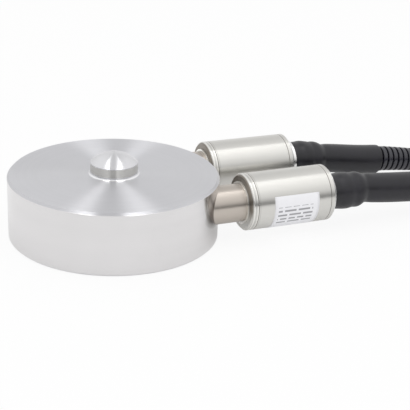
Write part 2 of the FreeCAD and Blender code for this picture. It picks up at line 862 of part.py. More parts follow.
def coupling_nut(channel):
    """Nut that turns on the journal, held between the grip and the carrier's flange."""
    lip = d.journal_diameter / 2 + d.running_gap
    lip_end = carrier_start - d.nut_play
    head = d.nut_diameter / 2
    thread = d.thread_diameter / 2
    socket = socket_diameter / 2
    nut = turned(f"coupling_nut_{channel.number}", [
        (nut_back, lip),
        (nut_back, head - d.grip_chamfer),
        (nut_back + d.grip_chamfer, head),
        (nut_shoulder - d.grip_chamfer, head),
        (nut_shoulder, head - d.grip_chamfer),
        (nut_shoulder, thread),
        (nut_front - d.grip_chamfer, thread),
        (nut_front, thread - d.grip_chamfer),
        (nut_front, socket),
        (lip_end, socket),
        (lip_end, lip),
    ])
    place(nut, d.plug_start, channel.plug_side, plug_height)


# The whole transducer

spring_body()
base_cover()
for channel in CHANNELS:
    sensing_cell(channel)
    connection_stub(channel)
    front_cap(channel)
    amplifier_tube(channel)
    amplifier_board(channel)
    rear_cap(channel)
    shrink_sleeve(channel)
    bend_protector(channel)
    inner_cable(channel)
    cable_run(f"cable_lead_{channel.number}", lead_points(channel))
    cable_coil(channel)
    cable_run(f"cable_tail_{channel.number}", tail_points(channel))
    coil_tie(channel)
    plug_grip(channel)
    plug_contacts(channel)
    coupling_nut(channel)

doc.recompute()
for thing in doc.Objects:
    if "Invalid" in thing.State or "Error" in thing.State:
        raise RuntimeError(f"{thing.Label} failed: {thing.State}")
for node in nodes:
    if node.Shape.isNull() or not node.Shape.isValid():
        raise RuntimeError(f"{node.Label} has no valid shape")

os.makedirs("parts", exist_ok=True)
for node in nodes:
    node.Shape.exportStep(f"parts/{node.Label}.step")
print(len(nodes), "pieces written")
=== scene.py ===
"""Finishes, sleeves, cables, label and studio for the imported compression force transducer."""

import math

import bmesh
import bpy
from bpy.props import FloatProperty, FloatVectorProperty, IntProperty, PointerProperty
from mathutils import Matrix, Vector, noise


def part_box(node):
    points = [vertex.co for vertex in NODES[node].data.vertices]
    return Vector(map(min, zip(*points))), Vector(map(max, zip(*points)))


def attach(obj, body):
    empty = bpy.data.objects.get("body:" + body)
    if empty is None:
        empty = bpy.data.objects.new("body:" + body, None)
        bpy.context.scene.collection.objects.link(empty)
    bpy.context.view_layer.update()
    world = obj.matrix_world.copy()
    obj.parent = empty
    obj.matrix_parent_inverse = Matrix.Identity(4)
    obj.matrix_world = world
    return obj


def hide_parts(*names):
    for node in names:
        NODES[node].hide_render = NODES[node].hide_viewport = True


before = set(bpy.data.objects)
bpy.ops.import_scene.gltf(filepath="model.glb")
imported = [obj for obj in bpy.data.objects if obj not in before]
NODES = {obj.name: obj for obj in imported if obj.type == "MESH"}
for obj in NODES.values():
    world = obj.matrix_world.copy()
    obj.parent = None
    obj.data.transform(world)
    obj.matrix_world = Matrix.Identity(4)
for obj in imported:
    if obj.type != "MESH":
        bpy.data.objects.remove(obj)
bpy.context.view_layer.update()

bl_info = {
    "name": "Force Transducer Dressing",
    "version": (1, 0, 0),
    "blender": (4, 5, 0),
    "location": "View3D > Sidebar > Transducer",
    "description": "Finishes, sleeves, cables, label and studio for a packed force transducer",
    "category": "Object",
}

CHANNELS = {1: -1, 2: 1}
BODY = "transducer"


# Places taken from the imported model


def middle_line(node):
    """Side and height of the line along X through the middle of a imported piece."""
    low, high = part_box(node)
    return (low[1] + high[1]) / 2, (low[2] + high[2]) / 2


def channel_axis(channel):
    """Side and height of a channel's axis, from its can."""
    return middle_line(f"amplifier_tube_{channel}")


# Settings that a user would change


def length(name, description, default):
    return FloatProperty(name=name, description=description, default=default, min=0.0, precision=5,
                         unit="LENGTH", subtype="DISTANCE")


def angle(name, description, degrees):
    return FloatProperty(name=name, description=description, default=math.radians(degrees),
                         unit="ROTATION", subtype="ANGLE")


def share(name, description, default):
    return FloatProperty(name=name, description=description, default=default, min=0.0, max=1.0,
                         subtype="FACTOR")


def colour(name, description, default):
    return FloatVectorProperty(name=name, description=description, default=default, size=3, min=0.0, max=1.0,
                               subtype="COLOR")


class SteelSettings(bpy.types.PropertyGroup):
    body_colour: colour("Body", "Turned steel of the spring body", (0.725, 0.725, 0.75))
    can_colour: colour("Cans", "Brushed steel of the amplifier cans", (0.71, 0.70, 0.67))
    stub_colour: colour("Stubs", "Heat-tinted steel of the connection stubs", (0.56, 0.51, 0.46))
    body_roughness: share("Body Roughness", "Roughness of the turned body", 0.37)
    can_roughness: share("Can Roughness", "Roughness of the cans", 0.34)
    stub_roughness: share("Stub Roughness", "Roughness of the stubs", 0.31)


class RubberSettings(bpy.types.PropertyGroup):
    sleeve_colour: colour("Sleeve", "Shrink sleeve", (0.0105, 0.0098, 0.0145))
    boot_colour: colour("Bend Protector", "Moulded bend protector", (0.026, 0.0255, 0.036))
    jacket_colour: colour("Cable", "Cable jacket", (0.020, 0.020, 0.021))
    strap_colour: colour("Strap", "Strap round the coils", (0.035, 0.035, 0.037))
    sleeve_lump: length("Lump", "How far the shrunk sleeve swells and dips over the spigot", 0.00014)


class LabelSettings(bpy.types.PropertyGroup):
    start: length("Start", "Distance of the label's near edge along X", 0.0606)
    width: length("Width", "Width of the label along the can", 0.0211)
    top: angle("Top", "Angle of the label's upper edge above the horizontal", 25.4)
    wrap: angle("Wrap", "Angle that the label takes round the can", 112.0)
    thickness: length("Thickness", "Thickness of the label", 0.00006)
    paper_colour: colour("Paper", "Bare label film", (0.93, 0.93, 0.96))
    bar_colour: colour("Bars", "Plain bars in place of print", (0.36, 0.36, 0.38))


class CableSettings(bpy.types.PropertyGroup):
    diameter: length("Diameter", "Diameter of the cable", 0.005)
    length: length("Length", "Length from the bend protector to the plug", 1.95)
    turns: FloatProperty(name="Turns", description="Turns in each layer of a coil", default=4.5, min=0.5)
    per_turn: IntProperty(name="Points", description="Control points in each turn", default=16, min=12)
    dip: length("Dip", "How far the climbing turn leans inwards", 0.0018)


class StageSettings(bpy.types.PropertyGroup):
    floor_colour: colour("Floor", "Pale floor", (0.96, 0.96, 0.96))
    strip_strength: FloatProperty(name="Strips", description="Radiance of the overhead strip lamps", default=3.0)
    room_strength: FloatProperty(name="Room", description="Soft light from the room", default=0.78)
    lens: FloatProperty(name="Lens", description="Focal length in millimetres", default=97.38)
    camera_place: FloatVectorProperty(name="Camera", description="Place of the camera", size=3, unit="LENGTH",
                                      subtype="TRANSLATION", default=(-0.13937, -0.41943, 0.19543))
    camera_roll: angle("Roll", "Turn of the camera about its line of sight", 2.24)


# Node trees


class Nodes:
    """Short way to add linked nodes to one tree."""

    def __init__(self, tree):
        self.tree = tree

    def add(self, kind, inputs=None, **settings):
        node = self.tree.nodes.new(kind if kind.startswith("NodeGroup") else "ShaderNode" + kind)
        for name, value in settings.items():
            setattr(node, name, value)
        self.fill(node, inputs or {})
        return node

    def group(self, build, inputs):
        """Outputs of a shader group, which is built the first time that it is asked for."""
        tree = bpy.data.node_groups.get(build.__name__) or build()
        return self.add("Group", inputs, node_tree=tree).outputs

    def fill(self, node, values):
        """Link or set each named input of a node."""
        for name, value in values.items():
            self.feed(node.inputs[name], value)

    def feed(self, socket, value):
        if isinstance(value, bpy.types.NodeSocket):
            self.tree.links.new(value, socket)
        else:
            socket.default_value = value

    def math(self, operation, *values):
        return self.add("Math", dict(enumerate(values)), operation=operation).outputs[0]

    def clamp(self, value):
        return self.add("Clamp", {"Value": value}).outputs[0]

    def radius(self, parts):
        """Distance from the Z axis, from the parts of a vector."""
        return self.math("SQRT", self.math("ADD", self.math("MULTIPLY", parts["X"], parts["X"]),
                                           self.math("MULTIPLY", parts["Y"], parts["Y"])))

    def along(self, vector, direction):
        return self.add("VectorMath", {0: vector, 1: direction}, operation="DOT_PRODUCT").outputs["Value"]

    def step(self, value, low, high):
        """Smooth step from 0 to 1 between two numbers."""
        return self.add("MapRange", {"Value": value, "From Min": low, "From Max": high},
                        interpolation_type="SMOOTHSTEP").outputs[0]

    def between(self, value, low, high):
        """Value of 0 to 1 spread between two numbers."""
        return self.add("MapRange", {"Value": value, "To Min": low, "To Max": high}).outputs[0]

    def noise(self, vector, scale, detail=2.0, roughness=0.5):
        return self.add("TexNoise", {"Vector": vector, "Scale": scale, "Detail": detail,
                                     "Roughness": roughness}).outputs["Fac"]

    def shaded(self, base, factor):
        return self.add("VectorMath", {0: base, 1: factor}, operation="MULTIPLY").outputs[0]


def new_group(name, inputs, outputs):
    """Empty shader group with its named sockets, its tree and the sockets inside."""
    tree = bpy.data.node_groups.new(name, "ShaderNodeTree")
    for direction, sockets in (("INPUT", inputs), ("OUTPUT", outputs)):
        for label, kind in sockets.items():
            tree.interface.new_socket(label, in_out=direction, socket_type="NodeSocket" + kind)
    nodes = Nodes(tree)
    return tree, nodes, nodes.add("NodeGroupInput").outputs, nodes.add("NodeGroupOutput").inputs


def turning_marks():
    """Fine rings left by turning, about the Z axis of the given coordinates."""
    tree, nodes, given, made = new_group(
        "turning_marks",
        {"Vector": "Vector", "Colour": "Color", "Roughness": "Float", "Lines": "Float", "Contrast": "Float"},
        {"Colour": "Color", "Roughness": "Float", "Height": "Float"},
    )
    parts = nodes.add("SeparateXYZ", {0: given["Vector"]}).outputs
    across = nodes.add("CombineXYZ", {"X": nodes.radius(parts), "Y": parts["Z"]}).outputs[0]
    fine = nodes.noise(across, given["Lines"], 1.0)
    broad = nodes.noise(across, nodes.math("MULTIPLY", given["Lines"], 0.13), 3.0)
    blend = nodes.math("ADD", nodes.math("MULTIPLY", fine, 0.45), nodes.math("MULTIPLY", broad, 0.55))
    swing = nodes.math("MULTIPLY", nodes.math("SUBTRACT", blend, 0.5), given["Contrast"])
    nodes.feed(made["Colour"], nodes.shaded(given["Colour"], nodes.math("ADD", swing, 1.0)))
    nodes.feed(made["Roughness"], nodes.math("ADD", given["Roughness"], nodes.math("MULTIPLY", swing, 0.6)))
    nodes.feed(made["Height"], blend)
    return tree


def ring_mask():
    """Mask of a turned ring: between two heights and two radii about Z, fading towards positive X by Lean."""
    tree, nodes, given, made = new_group(
        "ring_mask",
        {"Vector": "Vector", "From": "Float", "To": "Float", "Inner": "Float", "Outer": "Float",
         "Soft": "Float", "Lean": "Float"},
        {"Mask": "Float"},
    )
    parts = nodes.add("SeparateXYZ", {0: given["Vector"]}).outputs
    mask = nodes.clamp(nodes.math("SUBTRACT", 1.0, nodes.math("MULTIPLY", parts["X"], given["Lean"])))
    for value, low, high in ((parts["Z"], given["From"], given["To"]),
                             (nodes.radius(parts), given["Inner"], given["Outer"])):
        for gap in (nodes.math("SUBTRACT", value, low), nodes.math("SUBTRACT", high, value)):
            mask = nodes.math("MULTIPLY", mask, nodes.clamp(nodes.math("DIVIDE", gap, given["Soft"])))
    nodes.feed(made["Mask"], mask)
    return tree


def handling_marks():
    """Faint smudges and cleaning streaks that vary colour and gloss."""
    tree, nodes, given, made = new_group(
        "handling_marks",
        {"Vector": "Vector", "Colour": "Color", "Roughness": "Float", "Scale": "Float", "Amount": "Float"},
        {"Colour": "Color", "Roughness": "Float"},
    )
    cloud = nodes.noise(given["Vector"], given["Scale"], 4.0, 0.6)
    swing = nodes.math("MULTIPLY", nodes.math("SUBTRACT", cloud, 0.5), given["Amount"])
    nodes.feed(made["Colour"], nodes.shaded(given["Colour"], nodes.math("SUBTRACT", 1.0, swing)))
    nodes.feed(made["Roughness"], nodes.math("ADD", given["Roughness"], swing))
    return tree


def fine_grain():
    """Grain of moulded or extruded rubber and plastic."""
    tree, nodes, given, made = new_group(
        "fine_grain",
        {"Vector": "Vector", "Colour": "Color", "Roughness": "Float", "Scale": "Float", "Amount": "Float"},
        {"Colour": "Color", "Roughness": "Float", "Height": "Float"},
    )
    grain = nodes.noise(given["Vector"], given["Scale"], 3.0, 0.6)
    dust = nodes.noise(given["Vector"], nodes.math("MULTIPLY", given["Scale"], 0.06), 3.0, 0.55)
    swing = nodes.math("MULTIPLY", nodes.math("SUBTRACT", dust, 0.5), given["Amount"])
    nodes.feed(made["Colour"], nodes.shaded(given["Colour"], nodes.math("ADD", swing, 1.0)))
    nodes.feed(made["Roughness"], nodes.math("ADD", given["Roughness"], nodes.math("MULTIPLY", swing, 0.25)))
    nodes.feed(made["Height"], nodes.math("ADD", grain, dust))
    return tree


def new_material(name):
    """Material with its nodes, its shader and its Object coordinates."""
    material = bpy.data.materials.new(name)
    material.use_nodes = True
    nodes = Nodes(material.node_tree)
    shader = material.node_tree.nodes["Principled BSDF"]
    return material, nodes, shader, nodes.add("TexCoord").outputs["Object"]


def about_line(nodes, coords, axis, squash=1.0):
    """Coordinates whose Z runs along a line parallel to X at (y, z), drawn in sideways by squash."""
    turn = {"Vector": coords, "Rotation": (0, -math.pi / 2, 0), "Scale": (1, squash, 1),
            "Location": (axis[1], -axis[0] * squash, 0)}
    return nodes.add("Mapping", turn).outputs[0]


SMUDGE_SCALE = 55.0
MARK_DEPTH = 0.00002
GRAIN_STRENGTH = 0.35
QUARTER_TURN = 0.25


def turned_metal(name, tint, roughness, axis=None, lines=5200.0, contrast=0.05, grain=0.5, smudge=0.04,
                 relief=0.25, zones=(), shaded_stubs=()):
    """Turned metal whose rings run about Z, or about a line along X at (y, z).

    A zone is a ring with its own shade and gloss: heights, radii, soft edge, lean, colour factor and added
    roughness. Each stub line is the (y, z) of a line along X with painted shade round it, standing for the
    stub's dark reflection in the polished side.
    """
    material, nodes, shader, coords = new_material(name)
    if axis:
        coords = about_line(nodes, coords, axis)
    marks = nodes.group(turning_marks, {"Vector": coords, "Colour": (*tint, 1), "Roughness": roughness,
                                        "Lines": lines, "Contrast": contrast})
    wear = nodes.group(handling_marks, {"Vector": coords, "Colour": marks["Colour"],
                                        "Roughness": marks["Roughness"], "Scale": SMUDGE_SCALE,
                                        "Amount": smudge})
    bump = nodes.add("Bump", {"Height": marks["Height"], "Strength": relief, "Distance": MARK_DEPTH})
    shade, gloss = wear["Colour"], wear["Roughness"]
    rings = [(coords, zone) for zone in zones]
    # painted shade beside each stub, standing for its dark reflection in the polished side
    rings += [(about_line(nodes, coords, shaded_stub, STUB_SHADE_SQUASH), STUB_PAINTED_SHADE) for shaded_stub in shaded_stubs]
    for place, ((start, end), (inner, outer), soft, lean, factor, change) in rings:
        mask = nodes.group(ring_mask, {"Vector": place, "From": start, "To": end, "Inner": inner,
                                       "Outer": outer, "Soft": soft, "Lean": lean})["Mask"]
        tinted = nodes.shaded(shade, factor)
        shade = nodes.add("MixRGB", {"Fac": mask, "Color1": shade, "Color2": tinted}).outputs[0]
        gloss = nodes.math("ADD", gloss, nodes.math("MULTIPLY", mask, change))
    tangent = nodes.add("Tangent", direction_type="RADIAL", axis="X" if axis else "Z")
    nodes.fill(shader, {"Base Color": shade, "Roughness": gloss, "Normal": bump.outputs[0],
                        "Tangent": tangent.outputs[0], "Metallic": 1.0, "Anisotropic": grain,
                        "Anisotropic Rotation": QUARTER_TURN})
    return material


def moulded(name, tint, roughness, scale=2600.0, depth=0.00003, amount=0.3, specular=0.5, metallic=0.0):
    """Rubber, plastic, board or cast metal with a fine grain."""
    material, nodes, shader, coords = new_material(name)
    grain = nodes.group(fine_grain, {"Vector": coords, "Colour": (*tint, 1), "Roughness": roughness,
                                     "Scale": scale, "Amount": amount})
    bump = nodes.add("Bump", {"Height": grain["Height"], "Strength": GRAIN_STRENGTH, "Distance": depth})
    nodes.fill(shader, {"Base Color": grain["Colour"], "Roughness": grain["Roughness"],
                        "Normal": bump.outputs[0], "Metallic": metallic, "Specular IOR Level": specular})
    return material


def finish(material, *names):
    """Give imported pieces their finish."""
    for name in names:
        for slot in NODES[name].material_slots:
            slot.material = material


# Meshes


def new_piece(name, mesh, material, crease=35.0):
    """Object at the origin from a finished bmesh."""
    bmesh.ops.recalc_face_normals(mesh, faces=mesh.faces)
    for face in mesh.faces:
        face.smooth = True
    data = bpy.data.meshes.new(name)
    mesh.to_mesh(data)
    mesh.free()
    data.set_sharp_from_angle(angle=math.radians(crease))
    data.materials.append(material)
    piece = bpy.data.objects.new(name, data)
    bpy.context.scene.collection.objects.link(piece)
    return piece


def spun(outline, steps):
    """Closed outline of (x, radius) points turned about the X axis."""
    mesh = bmesh.new()
    verts = [mesh.verts.new((x, 0, radius)) for x, radius in outline]
    edges = [mesh.edges.new(pair) for pair in zip(verts, verts[1:] + verts[:1])]
    bmesh.ops.spin(mesh, geom=verts + edges, cent=(0, 0, 0), axis=(1, 0, 0), angle=math.tau, steps=steps,
                   use_merge=True)
    bmesh.ops.remove_doubles(mesh, verts=mesh.verts, dist=1e-7)
    return mesh


def add_subdivision(piece, levels):
    smooth = piece.modifiers.new("smooth", "SUBSURF")
    smooth.levels = smooth.render_levels = levels


def ease(part):
    part = min(max(part, 0.0), 1.0)
    return part * part * (3 - 2 * part)


# Pieces


# Painted shade on the body's side beside a stub, standing for the stub's dark reflection there, drawn out
# sideways into an oval
STUB_SHADE_SQUASH = 0.57
STUB_PAINTED_SHADE = ((0.020, 0.048), (-0.001, 0.0084), 0.0022, 0.0, (0.27, 0.245, 0.23), 0.0)

# Zones of the spring body: polished side and dome, also lightened in colour as painted light; button wall in a
# warmer, darker tone; foot ring lightened as a painted highlight
BODY_ZONES = [
    ((-0.001, 0.0262), (0.0446, 0.0460), 0.0002, 0.0, (1.06, 1.045, 1.015), -0.21),
    ((0.0281, 0.0319), (0.0097, 0.0104), 0.0002, 0.0, (0.91, 0.90, 0.83), -0.12),
    ((0.0320, 0.0400), (-0.001, 0.0104), 0.0002, 0.0, (1.05, 1.05, 1.04), -0.12),
    ((0.0268, 0.0279), (0.0099, 0.0109), 0.0002, 0.0, (1.22, 1.22, 1.20), -0.25),
]


# Bright rings painted as highlights, and two darker rings, beside a can's front seam: place behind the seam, half
# width, shade, added roughness
CAN_PAINTED_RINGS = [
    (-0.0037, 0.00022, 1.35, -0.1),
    (-0.0020, 0.00022, 1.3, -0.1),
    (-0.0005, 0.0002, 1.25, -0.1),
    (-0.0013, 0.0003, 0.86, 0.0),
    (0.0007, 0.0003, 0.88, 0.0),
]
SEAM_HALF_WIDTH = 0.00016
SEAM_SHADE = (0.42, 0.40, 0.38)
FACE_PAINTED_SHADE = (0.36, 0.33, 0.30)
REAR_RIM_PAINTED_HIGHLIGHT = (1.36, 1.37, 1.42)


def can_zones(channel):
    """Seams of a can, bright rings painted as highlights and darker rings by its front seam, painted shade on the
    upper half of its front face, and a painted highlight on its rear rim.
    """
    low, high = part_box(f"amplifier_tube_{channel}")
    front, rear = low[0], high[0]
    skin = (0.0085, 0.02)
    zones = [((seam - SEAM_HALF_WIDTH, seam + SEAM_HALF_WIDTH), (0.005, 0.02), 0.00006, 0.0, SEAM_SHADE, 0.1)
             for seam in (front, rear)]
    # bright rings are painted highlights, the two below 1 are darker rings
    zones += [((front + line - half, front + line + half), skin, 0.00008, 0.0, (shade, shade, shade), gloss)
              for line, half, shade, gloss in CAN_PAINTED_RINGS]
    # painted shade on the upper half of the front face, towards the stub
    zones.append(((front - 0.0032, front - 0.0024), (0.0088, 0.0135), 0.0002, 210.0, FACE_PAINTED_SHADE, 0.0))
    # painted highlight on the rear rim
    zones.append(((rear + 0.0017, rear + 0.0060), skin, 0.0002, 0.0, REAR_RIM_PAINTED_HIGHLIGHT, -0.05))
    return zones


class FinishSteel(bpy.types.Operator):
    """Turned and brushed steel on the spring body, its cover, the stubs and the cans"""
    bl_idname = "transducer.finish_steel"
    bl_label = "Finish Steel"

    def execute(self, context):
        steel = context.scene.transducer_steel
        # the body gets painted shade beside each stub, for the stubs' dark reflections in its side
        body = turned_metal("turned_body_steel", steel.body_colour, steel.body_roughness, lines=2600.0,
                            contrast=0.14, grain=1.0, zones=BODY_ZONES,
                            shaded_stubs=[channel_axis(channel) for channel in CHANNELS])
        finish(body, "spring_body", "base_cover")
        for channel in CHANNELS:
            axis = channel_axis(channel)
            can = turned_metal(f"can_steel_{channel}", steel.can_colour, steel.can_roughness, axis, grain=0.85,
                               relief=0.03, zones=can_zones(channel))
            finish(can, f"front_cap_{channel}", f"amplifier_tube_{channel}", f"rear_cap_{channel}")
            stub = turned_metal(f"stub_steel_{channel}", steel.stub_colour, steel.stub_roughness, axis, grain=0.6,
                                smudge=0.12)
            finish(stub, f"connection_stub_{channel}")
        return {"FINISHED"}


class FinishElectronics(bpy.types.Operator):
    """Sensing cells, boards, components, leads and seals inside the body and the cans"""
    bl_idname = "transducer.finish_electronics"
    bl_label = "Finish Electronics"

    def execute(self, context):
        board = moulded("circuit_board", (0.03, 0.16, 0.07), 0.42, 1200.0)
        component = moulded("component_resin", (0.03, 0.03, 0.032), 0.38, 3000.0)
        wire = moulded("lead_insulation", (0.32, 0.05, 0.04), 0.4, 1800.0)
        rubber = moulded("seal_rubber", (0.016, 0.016, 0.017), 0.5, 4000.0)
        cell = moulded("cell_steel", (0.6, 0.6, 0.62), 0.3, 3000.0, metallic=1.0)
        for channel in CHANNELS:
            finish(board, f"amplifier_board_{channel}", f"bridge_board_{channel}")
            finish(component, f"board_components_{channel}")
            finish(wire, f"lead_bundle_{channel}")
            finish(rubber, f"front_seal_{channel}", f"rear_seal_{channel}", f"plug_seal_{channel}")
            finish(cell, f"sensing_cell_{channel}")
        return {"FINISHED"}


# Outlines of the sleeve and its lining: distance behind the pivot and radius, in metres
SLEEVE_SKIN = [
    (-0.01260, 0.00710), (-0.01255, 0.00748), (-0.01225, 0.00772), (-0.01150, 0.00785), (-0.01020, 0.00789),
    (-0.00900, 0.00794), (-0.00800, 0.00807), (-0.00700, 0.00822), (-0.00600, 0.00830), (-0.00500, 0.00832),
    (-0.00400, 0.00829), (-0.00310, 0.00816), (-0.00230, 0.00796), (-0.00150, 0.00784), (-0.00070, 0.00783),
    (0.00010, 0.00792), (0.00090, 0.00800), (0.00170, 0.00797), (0.00250, 0.00779), (0.00330, 0.00745),
    (0.00410, 0.00699), (0.00490, 0.00660), (0.00560, 0.00642), (0.00660, 0.00638), (0.00800, 0.00645),
    (0.01000, 0.00650), (0.01300, 0.00655), (0.01700, 0.00660), (0.02200, 0.00664), (0.02800, 0.00667),
    (0.03300, 0.00667), (0.03500, 0.00667), (0.03575, 0.00665), (0.03610, 0.00652),
]
SLEEVE_LINING = [
    (0.03610, 0.00614), (0.03575, 0.00606), (0.03500, 0.00604), (0.03000, 0.00604), (0.01800, 0.00600),
    (0.01000, 0.00590), (0.00660, 0.00585), (0.00490, 0.00610), (0.00330, 0.00690), (0.00170, 0.00745),
    (-0.00070, 0.00735), (-0.00230, 0.00742), (-0.00310, 0.00770), (-0.00500, 0.00774), (-0.00700, 0.00770),
    (-0.00900, 0.00735), (-0.01150, 0.00720), (-0.01245, 0.00700),
]
PIVOT_SETBACK = 0.0016
TILTS = {1: math.radians(4.7), 2: math.radians(7.6)}
HEAD_SLIDES = {1: 0.0, 2: 0.0008}
SLEEVE_GIRTHS = {1: (1.0, 1.03), 2: (1.03, 1.06)}
# How far each sleeve and its bend protector hang below the straight line: distance behind the pivot and drop
DROPS = {
    1: [(-0.0126, 0.00020), (-0.008, 0.00035), (-0.002, 0.00055), (0.003, 0.00040), (0.007, -0.00010),
        (0.012, 0.00016), (0.022, 0.00030), (0.030, 0.00025), (0.0624, 0.0)],
    2: [(-0.0126, 0.00010), (-0.007, 0.00024), (-0.003, 0.00074), (0.002, 0.00104), (0.007, 0.00052),
        (0.014, 0.00056), (0.021, 0.00074), (0.028, 0.00068), (0.034, 0.00041), (0.041, -0.00018),
        (0.048, -0.00022), (0.055, -0.00012), (0.0624, 0.0)],
}
# Along each sleeve: where the girth changes, where the lumps fade, their pace, and where the head slides
GIRTH_START, GIRTH_SPAN = 0.003, 0.005
LUMP_START, LUMP_SPAN, LUMP_LOSS = 0.002, 0.004, 0.8
LUMPS_ALONG, LUMPS_ROUND, LUMP_SHIFT = 260, 130, 7
SLIDE_RISE, SLIDE_END, SLIDE_FALL = 0.003, 0.014, 0.008
SLEEVE_STEPS, SLEEVE_REACH = 40, 0.004
BOOT_STEPS, BOOT_REACH = 64, 0.0001


def hang(channel, along):
    """Drop of a sleeve or bend protector below the straight line."""
    marks = DROPS[channel]
    drop = marks[0][1]
    for (start, first), (end, last) in zip(marks, marks[1:]):
        drop += (last - first) * ease((along - start) / (end - start))
    return drop


def bend(mesh, channel, reach):
    """Move a spun mesh to its channel's pivot, tilt what lies behind it nose down and let it hang."""
    side, height = channel_axis(channel)
    cap_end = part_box(f"rear_cap_{channel}")[1][0]
    pivot = Vector((cap_end + PIVOT_SETBACK, side, height))
    for vert in mesh.verts:
        along = vert.co.x
        turn = Matrix.Rotation(TILTS[channel] * ease((along + reach) / (2 * reach)), 3, "Y")
        vert.co = pivot + turn @ vert.co - Vector((0, 0, hang(channel, along)))


class AddSleeves(bpy.types.Operator):
    """Shrink sleeves that swell over the spigots and bend towards the cables"""
    bl_idname = "transducer.add_sleeves"
    bl_label = "Add Shrink Sleeves"

    def execute(self, context):
        rubber = context.scene.transducer_rubber
        material = moulded("sleeve_rubber", rubber.sleeve_colour, 0.37, scale=2200.0, depth=0.00005, amount=1.3)
        for channel, (head, shank) in SLEEVE_GIRTHS.items():
            outline = [(along, radius * (head + (shank - head) * ease((along - GIRTH_START) / GIRTH_SPAN)))
                       for along, radius in SLEEVE_SKIN + SLEEVE_LINING]
            mesh = spun(outline, SLEEVE_STEPS)
            for vert in mesh.verts:
                x, y, z = vert.co
                fade = 1.0 - LUMP_LOSS * ease((x - LUMP_START) / LUMP_SPAN)
                place = Vector((x * LUMPS_ALONG, y * LUMPS_ROUND, z * LUMPS_ROUND + channel * LUMP_SHIFT))
                vert.co += Vector((0, y, z)).normalized() * noise.noise(place) * fade * rubber.sleeve_lump
                slide = ease(x / SLIDE_RISE + 1.0) * ease((SLIDE_END - x) / SLIDE_FALL)
                vert.co.x -= HEAD_SLIDES[channel] * slide
            bend(mesh, channel, SLEEVE_REACH)
            sleeve = new_piece(f"sleeve_{channel}", mesh, material, 180.0)
            add_subdivision(sleeve, 2)
            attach(sleeve, BODY)
            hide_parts(f"shrink_sleeve_{channel}")
        return {"FINISHED"}


BOOT_START, SHANK_END, BOOT_END = 0.0004, 0.0361, 0.0624
HEAD_OUTLINE = [(BOOT_START, 0.0069), (0.0016, 0.0072), (0.0023, 0.0070), (0.0046, 0.0056), (0.0310, 0.0056)]
SHANK_RADIUS, TIP_RADIUS, CORE_RADIUS, SHANK_BORE, TIP_BORE = 0.00615, 0.0054, 0.0036, 0.0029, 0.00255
RIB_PITCH, RIB_SLIT, RIB_COUNT, RIB_EDGE, FIRST_SLIT = 0.003, 0.00095, 8, 0.0002, 0.0006
SHANK_RISE = 0.002


def boot_outline():
    """Bore, head, shank, tapering rings with slits between them and tip of the bend protector."""
    def skin(x):
        return SHANK_RADIUS + (TIP_RADIUS - SHANK_RADIUS) * max(0.0, (x - SHANK_END) / (BOOT_END - SHANK_END))

    points = [(SHANK_END, SHANK_BORE), (BOOT_START, SHANK_BORE), *HEAD_OUTLINE,
              (SHANK_END - SHANK_RISE, SHANK_RADIUS), (SHANK_END, SHANK_RADIUS)]
    for rib in range(RIB_COUNT):
        end = SHANK_END + FIRST_SLIT + RIB_PITCH * rib
        start = end + RIB_SLIT
        points += [
            (end - RIB_EDGE, skin(end)),
            (end, skin(end) - RIB_EDGE),
            (end, CORE_RADIUS),
            (start, CORE_RADIUS),
            (start, skin(start) - RIB_EDGE),
            (start + RIB_EDGE, skin(start)),
        ]
    return [*points, (BOOT_END - RIB_EDGE, TIP_RADIUS), (BOOT_END, TIP_RADIUS - RIB_EDGE), (BOOT_END, TIP_BORE)]


class AddBendProtectors(bpy.types.Operator):
    """Moulded bend protectors with slit rings that taper towards the cable"""
    bl_idname = "transducer.add_bend_protectors"
    bl_label = "Add Bend Protectors"

    def execute(self, context):
        rubber = context.scene.transducer_rubber
        material = moulded("boot_rubber", rubber.boot_colour, 0.17, scale=3200.0, depth=0.00001, amount=0.25,
                           specular=0.7)
        for channel in CHANNELS:
            mesh = spun(boot_outline(), BOOT_STEPS)
            bend(mesh, channel, BOOT_REACH)
            boot = new_piece(f"boot_{channel}", mesh, material)
            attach(boot, BODY)
            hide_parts(f"bend_protector_{channel}")
        return {"FINISHED"}


# Free cables: from the bend protector to the coil, and from the coil to the plug, in metres
LEADS = {
    1: [(0.16659, -0.0213, 0.010487), (0.176557, -0.0213, 0.009668), (0.190, -0.0232, 0.0112),
        (0.200, -0.028, 0.0141), (0.2105, -0.034, 0.0144), (0.222, -0.039, 0.0140),
        (0.235, -0.04125, 0.01372)],
    2: [(0.168552, 0.0213, 0.007347), (0.178464, 0.0213, 0.006025), (0.190, 0.0232, 0.0050),
        (0.2005, 0.028, 0.0043), (0.211, 0.034, 0.00395), (0.222, 0.039, 0.0037), (0.235, 0.04125, 0.0036)],
}
TAILS = {
    1: [(0.235, -0.04125, 0.01878), (0.247, -0.0414, 0.0184), (0.258, -0.0419, 0.0160),
        (0.268, -0.0423, 0.0120), (0.2775, -0.0425, 0.0093), (0.287, -0.0425, 0.0075), (0.297, -0.0425, 0.0075)],
    2: [(0.235, 0.04125, 0.00865), (0.250, 0.0414, 0.0086), (0.265, 0.0419, 0.0083), (0.277, 0.0424, 0.0078),
        (0.287, 0.0425, 0.0075), (0.297, 0.0425, 0.0075)],
}


